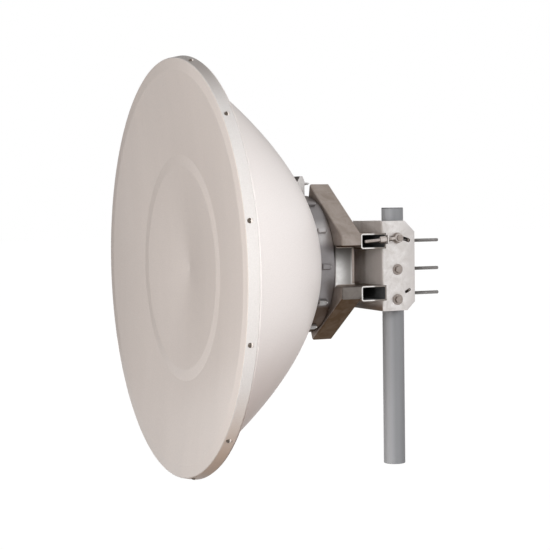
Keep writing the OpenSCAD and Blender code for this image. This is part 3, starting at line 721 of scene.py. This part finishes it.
# The two lowest lugs take a lighter copy of the casting's finish.
lug_lighter = surface("lug_lighter_aluminium", (0.36, 0.35, 0.345), (0.22, 0.21, 0.205), 0.36, 0.85, patch=90.0, amount=0.7,
                   grain=900.0, bump=0.1)


def on_lowest_lugs(face):
    """The two lowest lugs on the mast's side and their screws, which take a lighter finish than the rest."""
    spoke = (face.center - at_dish).xz / mm
    below = atan2(-spoke.y, spoke.x) * lug_count / (2 * pi)
    return spoke.length > hub_r + 0.3 and min(abs(below - 1), abs(below - 2)) < 0.15


paint(hub, lug_lighter, on_lowest_lugs)

screw_place = Matrix.Translation(((hub_r + 3.6) * mm, (lug_y + lug_len) * mm, 0)) @ along_y
hub_screw = join("hub_screw", [hexagon("head", screw_hex_r, 3.0), threaded("rod", screw_r, -18.0, 1.0)])
hub_screws = copies("hub_screw_set", hub_screw, [turn @ screw_place for turn in lug_turns])
screw_grey = surface("weathered_zinc", (0.40, 0.39, 0.385), (0.28, 0.27, 0.262), 0.45, 0.9, patch=90.0, grain=1500.0,
                     bump=0.06)
fit(ease_edges(hub_screws, 0), screw_grey, "head", "bright_steel", "hub_screws")
paint(hub_screws, bright_steel, on_lowest_lugs)


def dress(node_name, material):
    """A CAD node whose shape is right keeps its mesh and gets the finish."""
    for place in frame["nodes"][node_name].material_slots:
        place.material = material


turned_aluminium = surface("turned_aluminium", (0.68, 0.68, 0.69), (0.58, 0.58, 0.59), 0.34, 0.95, patch=30.0,
                           grain=900.0, bump=0.06)
black_rubber = surface("black_rubber", (0.025, 0.025, 0.025), (0.035, 0.034, 0.033), 0.75, patch=60.0, grain=1800.0,
                       bump=0.2)
dress("hub_plate", turned_aluminium)
dress("feed_seal", black_rubber)

# Reflector: a deep bowl spun from 3 mm aluminium sheet, with a flat middle for
# the hub and a turned-out rim. It is powder coated white, and a ring and a pale
# rubber gasket on its rim take the radome.
rim_in, rim_edge, dish_t, rim_b, feed_hole, spun_steps = 566.4, 603.95, 3.0, 36.0, 18.0, 56
# Painted shade: the powder coat is painted brownish grey on faces that look down and grey on faces that look up.
reflector_white = surface("white_powder_coat", (0.84, 0.822, 0.818), (0.82, 0.80, 0.792), 0.34,
                          Specular_IOR_Level=0.06, patch=4.0, amount=0.5, spread=0.08, grain=420.0, bump=0.03,
                          shade_below=(0.50, 0.41, 0.375), shade_below_amount=1.0, shade_below_span=(-0.14, -0.76),
                          shade_above=(0.68, 0.65, 0.635), shade_above_span=(0.2, 0.8))
radii = [flat_r + (rim_in - flat_r) * i / spun_steps for i in range(spun_steps + 1)]


def inner(r):
    """Depth of the reflector's inside at a radius."""
    return bowl(r) - dish_t * sqrt(1 + (r / (2 * focal)) ** 2)


outer_skin = [(feed_hole, bowl(flat_r)), (90, bowl(flat_r)), (flat_r - 4, bowl(flat_r)), (flat_r, bowl(flat_r) - 0.4)]
outer_skin += [(r, bowl(r)) for r in radii[1:-1]] + [(rim_in - 0.6, rim_b + 0.9), (rim_in + 1.2, rim_b + 0.1)]
rim_roll = [(rim_edge - 1.2, rim_b), (rim_edge, rim_b - 1), (rim_edge, rim_b - 2.4), (rim_edge - 0.6, rim_b - dish_t)]
inner_skin = [(rim_in - dish_t, rim_b - dish_t)] + [(r, inner(r)) for r in radii[-2:0:-1]]
inner_skin += [(flat_r, bowl(flat_r) - dish_t - 0.2), (flat_r - 6, bowl(flat_r) - dish_t),
               (feed_hole, bowl(flat_r) - dish_t)]
bowl_piece = turned("reflector_bowl", outer_skin + rim_roll + inner_skin, at_dish, Y, X, 192)
fit(ease_edges(bowl_piece, 0, angle=28), reflector_white, "head", "reflector_white", "reflector")
pale_rubber = surface("pale_rubber", (0.62, 0.58, 0.55), (0.58, 0.54, 0.51), 0.7, patch=60.0, grain=1800.0, bump=0.1)
dress("rim_ring", reflector_white)
dress("rim_gasket", pale_rubber)

# Radome: one sheet of satin greige plastic, thermoformed into a shallow cone
# with a flat step ring, a flat band and a tight lip. Its skirt flares to the
# rear, slips over the rim and is held by twelve screws.
lip_mid, lip_r, wall, draft, skirt_len = 597.4, 4.6, 3.0, radians(12), 30.0
radome_dip, step_in, step_out, step_y, band_in = 62.0, 293.5, 326.5, 30.5, 567.0


def skirt_at(y, off):
    """Radius of the flared skirt at a depth, off from the lip's middle."""
    return lip_mid + off * cos(draft) + (y - lip_r + off * sin(draft)) * tan(draft)


def radome_skin(drop, lip):
    """One side of the sheet from the middle round the lip, eased at each change of slope."""
    cone = rounded([(-step_in, step_y, 0), (0, radome_dip, 40), (step_in, step_y, 12), (step_out, step_y, 12),
                    (band_in, 0, 14), (lip_mid - 2.5, 0, 0), (lip_mid, 0, 0)], 5)
    half = [Vector((0, radome_dip - 2.1))] + [p for p in cone if p.x > 0.5]
    points = []
    for here, there in zip(half, half[1:]):
        points.append(here + Vector((0, drop)))
        if (there - here).length > 60:
            points += [here.lerp(there, k / 5) + Vector((0, drop)) for k in range(1, 5)]
    turn = (pi / 2 - draft) / 6
    points += [Vector((lip_mid + lip * sin(k * turn), lip_r - lip * cos(k * turn))) for k in range(7)]
    return points + [Vector((skirt_at(y, lip), y)) for y in (14, 22, skirt_len - 0.8)]


radome_plastic = surface("greige_radome_plastic", (0.60, 0.548, 0.518), (0.585, 0.532, 0.499), 0.30,
                         Specular_IOR_Level=0.5, patch=3.0, amount=0.5, spread=0.12, grain=300.0, bump=0.03,
                         lines=(5.0, 5.0, 0.5), line_depth=0.03)
# Painted shade: the skirt takes a darker, more neutral copy of the sheet's plastic where the lamps light it most,
# painted brown on faces that look down and darker on top.
skirt_plastic = surface("skirt_shaded_plastic", (0.505, 0.498, 0.494), (0.49, 0.481, 0.476), 0.34,
                        Specular_IOR_Level=0.12, patch=5.0, amount=0.5, spread=0.1, grain=300.0, bump=0.03,
                        shade_below=(0.52, 0.345, 0.23), shade_below_amount=0.75, shade_below_span=(-0.4, -0.95),
                        shade_above=(0.30, 0.27, 0.252), shade_above_span=(0.68, 0.98))
front = radome_skin(0, lip_r)
back = radome_skin(wall, lip_r - wall)
hem = [Vector((skirt_at(skirt_len, lip_r) - 0.6, skirt_len)),
       Vector((skirt_at(skirt_len, lip_r - wall) + 0.6, skirt_len))]
radome = turned("radome_shell", front + hem + back[::-1], at_dish, Y, X, 192, closed=False)
fit(ease_edges(radome, 0, angle=28), radome_plastic, "head", "radome_plastic", "radome")


def on_skirt(face):
    """The skirt, from where the lip turns to the side."""
    spoke = (face.center - at_dish) / mm
    return spoke.xz.length > lip_mid + 1.5 and spoke.y > 1.2


paint(radome, skirt_plastic, on_skirt)

dark_screw = surface("bronzed_screw", (0.14, 0.115, 0.095), (0.09, 0.075, 0.062), 0.42, 0.8, patch=200.0,
                     grain=2500.0, bump=0.06)
# Painted highlight: the rear half of each dark screw head takes a light colour.
screw_highlight = surface("screw_painted_highlight", (0.80, 0.75, 0.715), (0.66, 0.60, 0.56), 0.45, 0.3, patch=200.0,
                     grain=2500.0, bump=0.06)
screw_count, screw_turn, screw_y = 12, radians(16.6), 13.0
pan_head = turned("pan_head", [
    (0, -12), (2.5, -12), (2.5, 0), (7, 0), (7, 0.9), (6.6, 1.8), (5.4, 2.8), (3.4, 3.4), (0, 3.6)],
    Vector(), Z, X, 32, closed=False)
for across, up in ((Y, -X), (X, Y)):
    cut(pan_head, plate("recess", rectangle(-3.2, -0.6, 3.2, 0.6), Z * 1.9 * mm, across, up, 4))
along_x = Matrix.Rotation(pi / 2, 4, "Y")
rim_place = (Matrix.Translation((skirt_at(screw_y, lip_r) * mm, screw_y * mm, 0))
             @ Matrix.Rotation(-draft, 4, "Z") @ along_x)
rim_screws = copies("radome_screw_set", pan_head, [
    Matrix.Translation(at_dish) @ Matrix.Rotation(screw_turn + 2 * k * pi / screw_count, 4, "Y") @ rim_place
    for k in range(screw_count)])
fit(ease_edges(rim_screws, 0), dark_screw, "head", "dark_screws", "radome_screws")
paint(rim_screws, screw_highlight, lambda face: face.center.y > rim_y + (screw_y + 1.2) * mm)

# Feed: a brass tube that turns in the hub plate, with a flange at its rear, a
# collar, and a white dielectric cone that holds a small metal sub-reflector.
feed_brass = surface("drawn_brass", (0.66, 0.49, 0.23), (0.50, 0.35, 0.16), 0.34, 0.95, patch=45.0, amount=0.5,
                     grain=1200.0, bump=0.06, lines=(300.0, 8.0, 300.0), line_depth=0.08)
dielectric = surface("turned_dielectric", (0.80, 0.78, 0.73), (0.75, 0.73, 0.68), 0.5, patch=40.0, grain=1200.0,
                     bump=0.05)
for name in ("feed_tube", "feed_flange"):
    dress(name, feed_brass)
for name in ("feed_collar", "sub_reflector"):
    dress(name, turned_aluminium)
dress("feed_cone", dielectric)

# Hoist bracket: a plate of bare steel with one side cheek on top of the hub
# ring, with a bolt and a bright wing nut; all faces but those towards the near
# side and the rear are painted dark as painted shade. The antenna is lifted by it.
hoist_shaded = surface("hoist_shaded_steel", (0.13, 0.12, 0.112), (0.09, 0.08, 0.072), 0.5, 0.7, patch=60.0, grain=900.0,
                     bump=0.12)
hoist_bare = surface("hoist_bare_steel", (0.58, 0.56, 0.55), (0.48, 0.46, 0.45), 0.42, 0.85, patch=60.0, grain=900.0,
                     bump=0.1)
hoist_up, hoist_foot, hoist_bend, hoist_top, hoist_hole = hub_r + 36.0, hub_r + 0.3, hub_r + 43.0, hub_r + 58.0, 4.3
hoist = plate("hoist_plate", rounded([
    (-10, hoist_foot, 0.5), (-10, hoist_bend, 14), (-16, hoist_top, 1), (-22, hoist_top, 1), (-16, hoist_bend, 8),
    (-16, hoist_foot, 0.5)], 4), at_hub - X * 36 * mm, Y, Z, 56)
hoist_cheek = plate("hoist_cheek", rounded([
    (-10, hoist_foot, 0.5), (-10, hoist_bend, 14), (-16, hoist_top, 1), (-24, hoist_top, 1), (-34, hub_r + 40, 4),
    (-34, hoist_foot, 1)], 4), at_hub + X * 14 * mm, Y, Z, 6)
cut(hoist, hoist_cheek, "UNION")
cut(hoist, pin(hoist_hole, 60, 24, rotation=(pi / 2, 0, 0), location=at_hub + Z * hoist_up * mm))
fit(ease_edges(hoist, 0.6), hoist_shaded, "head", "fastener_steel", "hoist_bracket")
# Painted shade: only the faces that look to the near side or the rear keep the bare steel.
paint(hoist, hoist_bare, lambda face: face.normal.x > 0.4 or face.normal.y > 0.4)
hoist_place = Matrix.Translation(at_hub + (Z * hoist_up - Y * 16) * mm) @ along_y
hoist_head = hexagon("hoist_head", bolt_hex_r, 5.5)
hoist_head.data.transform(Matrix.Rotation(pi, 4, "X"))
hoist_bolt = join("hoist", [hoist_head, threaded("rod", bolt_r, -1.0, 27.0, plain_to=10.0)])
hoist_bolt = copies("hoist_screw", hoist_bolt, [hoist_place])
fit(ease_edges(hoist_bolt, 0), bright_steel, "head", "bright_steel", "hoist_bolt")

wing_boss = turned("wing_boss", [(4.1, 0), (6.5, 0), (6.5, 1.5), (5.8, 9.8), (5.4, 11), (4.1, 11)],
                   Vector(), Z, X, 40)
wing = plate("wing", rounded([(5, 2, 0), (12, 2, 3), (21, 8, 3.5), (21, 16, 3), (16, 17, 2.5), (5, 10, 0)], 4),
             Y * 1.5 * mm, X, Z, 3)
wings = copies("wings", ease_edges(wing, 0.9), [Matrix.Identity(4), Matrix.Rotation(pi, 4, "Z")])
wing_place = Matrix.Translation(at_hub + (Z * hoist_up - Y * 10) * mm) @ along_y
wing_nut = copies("hoist_wing", join("wing_nut", [wing_boss, wings]), [wing_place])
fit(ease_edges(wing_nut, 0), bright_steel, "head", "bright_steel", "hoist_wing_nut")

# Tilt bolts and adjuster: M10 hex bolts with wide washers on both cheeks; the
# upper near one carries an eyebolt whose long nut pushes on the yoke's lug and
# sets the dish's tilt.
washer_in, washer_r, washer_t, washer_u, bolt_tip_u, play = 5.2, 15.5, 2.5, 77.8, 58.0, 0.3
head_u = washer_u + washer_t
eye_hole, eye_r, eye_t, rod_tilt, rod_len, nut_len = 5.07, 13.0, 11.0, radians(4.5), 108.0, 20.0
tilt_b, lug_b, nut_room = 177.4, 137.0, 1.15
flip_x = Matrix.Rotation(pi, 4, "Z")
side_washer = turned("side_washer", [
    (washer_in, 0.4), (washer_in + 0.4, 0), (washer_r - 0.4, 0), (washer_r, 0.4), (washer_r, washer_t - 0.5),
    (washer_r - 0.6, washer_t), (washer_in + 0.4, washer_t), (washer_in, washer_t - 0.4)], Vector(), Z, X, 56)
near = [Matrix.Translation(at_tilt + Z * z * mm) for z in (-lower_r, 0.0, upper_r)]
far = [place @ flip_x for place in near]
side_washers = copies("side_washer_set", side_washer, [
    place @ Matrix.Translation(X * washer_u * mm) @ along_x for place in near + far])
fit(ease_edges(side_washers, 0), fastener_steel, "clamp", "fastener_steel", "bolt_washers")


def side_bolt(name, head_at):
    """A hex bolt along Z, with its head at a distance from the mast's axis and its tip in the carrier."""
    return join(name, [hexagon("head", hex_r, head_h), threaded("rod", stud_r, bolt_tip_u - head_at, 1.0)])


side_bolts = copies("side_bolt_set", side_bolt("side_bolt", head_u), [
    place @ Matrix.Translation(X * head_u * mm) @ along_x @ Matrix.Rotation(k * 0.4, 4, "Z")
    for k, place in enumerate(near[:2] + far)])
fit(ease_edges(side_bolts, 0), fastener_steel, "clamp", "fastener_steel", "side_bolts")
eye_u = head_u + play
eye_head_u = eye_u + eye_t + play
pivot_bolt = copies("adjuster_pivot_bolt", side_bolt("pivot_bolt", eye_head_u), [
    near[2] @ Matrix.Translation(X * eye_head_u * mm) @ along_x])
fit(ease_edges(pivot_bolt, 0), fastener_steel, "clamp", "fastener_steel", "adjuster_bolt")

eye_steel = surface("eye_forged_steel", (0.60, 0.555, 0.53), (0.42, 0.375, 0.345), 0.40, 0.9, patch=110.0, amount=0.7,
                    spread=0.25, grain=1400.0, bump=0.08, shade_below=underside_shade_brown, shade_below_amount=0.8)
eye_mid = near[2] @ Matrix.Translation(X * (eye_u + eye_t / 2) * mm) @ Matrix.Rotation(rod_tilt, 4, "X")
eye = turned("eye", rounded([(eye_hole, -eye_t / 2, 0.8), (eye_r, -eye_t / 2, 3), (eye_r, eye_t / 2, 3),
                             (eye_hole, eye_t / 2, 0.8)], 4), Vector(), X, Y, 48)
eye_rod = threaded("rod", stud_r, 10.0, rod_len, plain_to=22.0)
eye_rod.data.transform(Matrix.Rotation(pi / 2, 4, "X"))
eyebolt = copies("tilt_eyebolt", join("eyebolt_model", [eye, eye_rod]), [eye_mid])
fit(ease_edges(eyebolt, 0), eye_steel, "eyebolt", "fastener_steel", "eyebolt")
long_nut = cut(hexagon("long_nut", hex_r, nut_len, both_ends=True), pin(pivot_r, 90))
nut_at = (tilt_b - lug_b + nut_room) / cos(rod_tilt)
long_nut = copies("tilt_long_nut", long_nut, [
    eye_mid @ Matrix.Translation(-Y * nut_at * mm) @ Matrix.Rotation(pi / 2, 4, "X")])
fit(ease_edges(long_nut, 0.25), eye_steel, "adjuster_nut", "fastener_steel", "adjuster_nut")

# Studio: a pale floor just under the rim, a white surround and a grey card that
# only reflections see. Soft lamps stand by the camera, in front, twice beside
# the mast and on the far side. The camera has the photo's place and lens.
scene = bpy.context.scene
scene.view_settings.view_transform = "Standard"
neutral_white, side_white, far_white = (1.0, 0.985, 0.97), (1.0, 0.98, 0.975), (1.0, 0.985, 0.975)
floor_glow, shadow_share = 1.115, 0.1


def stage_finish(piece, name):
    """A new material on a stage piece, empty but for its output."""
    material = bpy.data.materials.new(name)
    material.use_nodes = True
    material.node_tree.nodes.remove(material.node_tree.nodes["Principled BSDF"])
    piece.data.materials.append(material)
    return material.node_tree


def looked_at(tree):
    """1 for rays that look, straight or by way of metal or glass, and 0 for those that light the object."""
    rays = node(tree, "LightPath").outputs
    look = calc(tree, "ADD", rays["Is Camera Ray"], rays["Is Glossy Ray"])
    return calc(tree, "ADD", look, rays["Is Transmission Ray"], use_clamp=True)


bpy.ops.object.select_all(action="DESELECT")
bpy.ops.mesh.primitive_plane_add(size=60, location=(0, 0, cad_box[0].z - 0.002))
floor = bpy.context.object
floor.name = "studio_floor"
tree = stage_finish(floor, "floor_pale")
shadowed = node(tree, "BsdfDiffuse", [("Color", (0.15, 0.105, 0.075, 1.0))]).outputs[0]
white = node(tree, "Emission", [("Color", (1.0, 1.0, 1.0, 1.0)), ("Strength", floor_glow)]).outputs[0]
paler = node(tree, "MixShader", [(0, shadow_share), (1, white), (2, shadowed)]).outputs[0]
tree.links.new(node(tree, "MixShader", [(0, looked_at(tree)), (1, shadowed), (2, paler)]).outputs[0],
               tree.nodes["Material Output"].inputs["Surface"])

bpy.ops.object.select_all(action="DESELECT")
bpy.ops.mesh.primitive_plane_add(size=1, location=(-3.6, 0.6, 0.6), rotation=(0, pi / 2, 0))
flag = bpy.context.object
flag.name = "studio_flag"
flag.scale = (4.0, 5.2, 1.0)
flag.visible_camera = flag.visible_diffuse = flag.visible_shadow = flag.visible_transmission = False
tree = stage_finish(flag, "flag_grey")
tree.links.new(node(tree, "Emission", [("Color", (0.36, 0.35, 0.34, 1.0)), ("Strength", 1.0)]).outputs[0],
               tree.nodes["Material Output"].inputs["Surface"])

world = scene.world or bpy.data.worlds.new("studio")
scene.world = world
world.use_nodes = True
tree = world.node_tree
surround = tree.nodes["Background"]
surround.inputs["Color"].default_value = (1.0, 0.92, 0.88, 1.0)
skyward = node(tree, "SeparateXYZ", [("Vector", node(tree, "TexCoord").outputs["Generated"])]).outputs["Z"]
tree.links.new(ranged(tree, skyward, 0.0, 1.0, (0.33, 0.22)), surround.inputs["Strength"])
white_sky = node(tree, "Background", [("Color", (1.0, 1.0, 1.0, 1.0)), ("Strength", 1.0)]).outputs[0]
tree.links.new(node(tree, "MixShader", [(0, looked_at(tree)), (1, surround.outputs[0]), (2, white_sky)]).outputs[0],
               tree.nodes["World Output"].inputs["Surface"])


def soft_light(name, place, target, size, watts, colour):
    """An area lamp that is turned to its target and is not seen itself."""
    lamp = bpy.data.lights.new(name, "AREA")
    lamp.shape, lamp.size, lamp.size_y, lamp.energy, lamp.color = "RECTANGLE", size[0], size[1], watts, colour
    holder = bpy.data.objects.new(name, lamp)
    scene.collection.objects.link(holder)
    holder.location = place
    holder.rotation_euler = (Vector(target) - Vector(place)).to_track_quat("-Z", "Y").to_euler()
    holder.visible_camera = holder.visible_glossy = False


soft_light("key", (3.2, -1.8, 1.7), (-0.1, -0.6, 0.55), (1.2, 1.2), 26.0, neutral_white)
soft_light("front", (1.83, -2.75, 0.5), (0.0, -0.6, 0.5), (1.2, 1.2), 80.0, neutral_white)
soft_light("side_high", (4.3, 1.5, 2.2), (-0.1, -0.4, 0.6), (1.8, 1.4), 90.0, side_white)
soft_light("side_low", (4.3, 1.5, 0.8), (-0.1, -0.4, 0.6), (1.8, 1.4), 76.0, side_white)
soft_light("far", (-4.4, 0.7, 0.7), (-0.3, -0.4, 0.6), (2.0, 1.6), 150.0, far_white)

camera = bpy.data.objects.new("camera", bpy.data.cameras.new("camera"))
scene.collection.objects.link(camera)
right, upward = Vector((0.392869, 0.919488, -0.013996)), Vector((-0.040473, 0.032494, 0.998652))
backward = right.cross(upward)
camera_at = Matrix.Translation((3.598715, -1.912133, 0.764426))
camera.matrix_world = camera_at @ Matrix((right, upward, backward)).transposed().to_4x4()
camera.data.lens, camera.data.sensor_width = 90.27, 36.0
scene.camera = camera
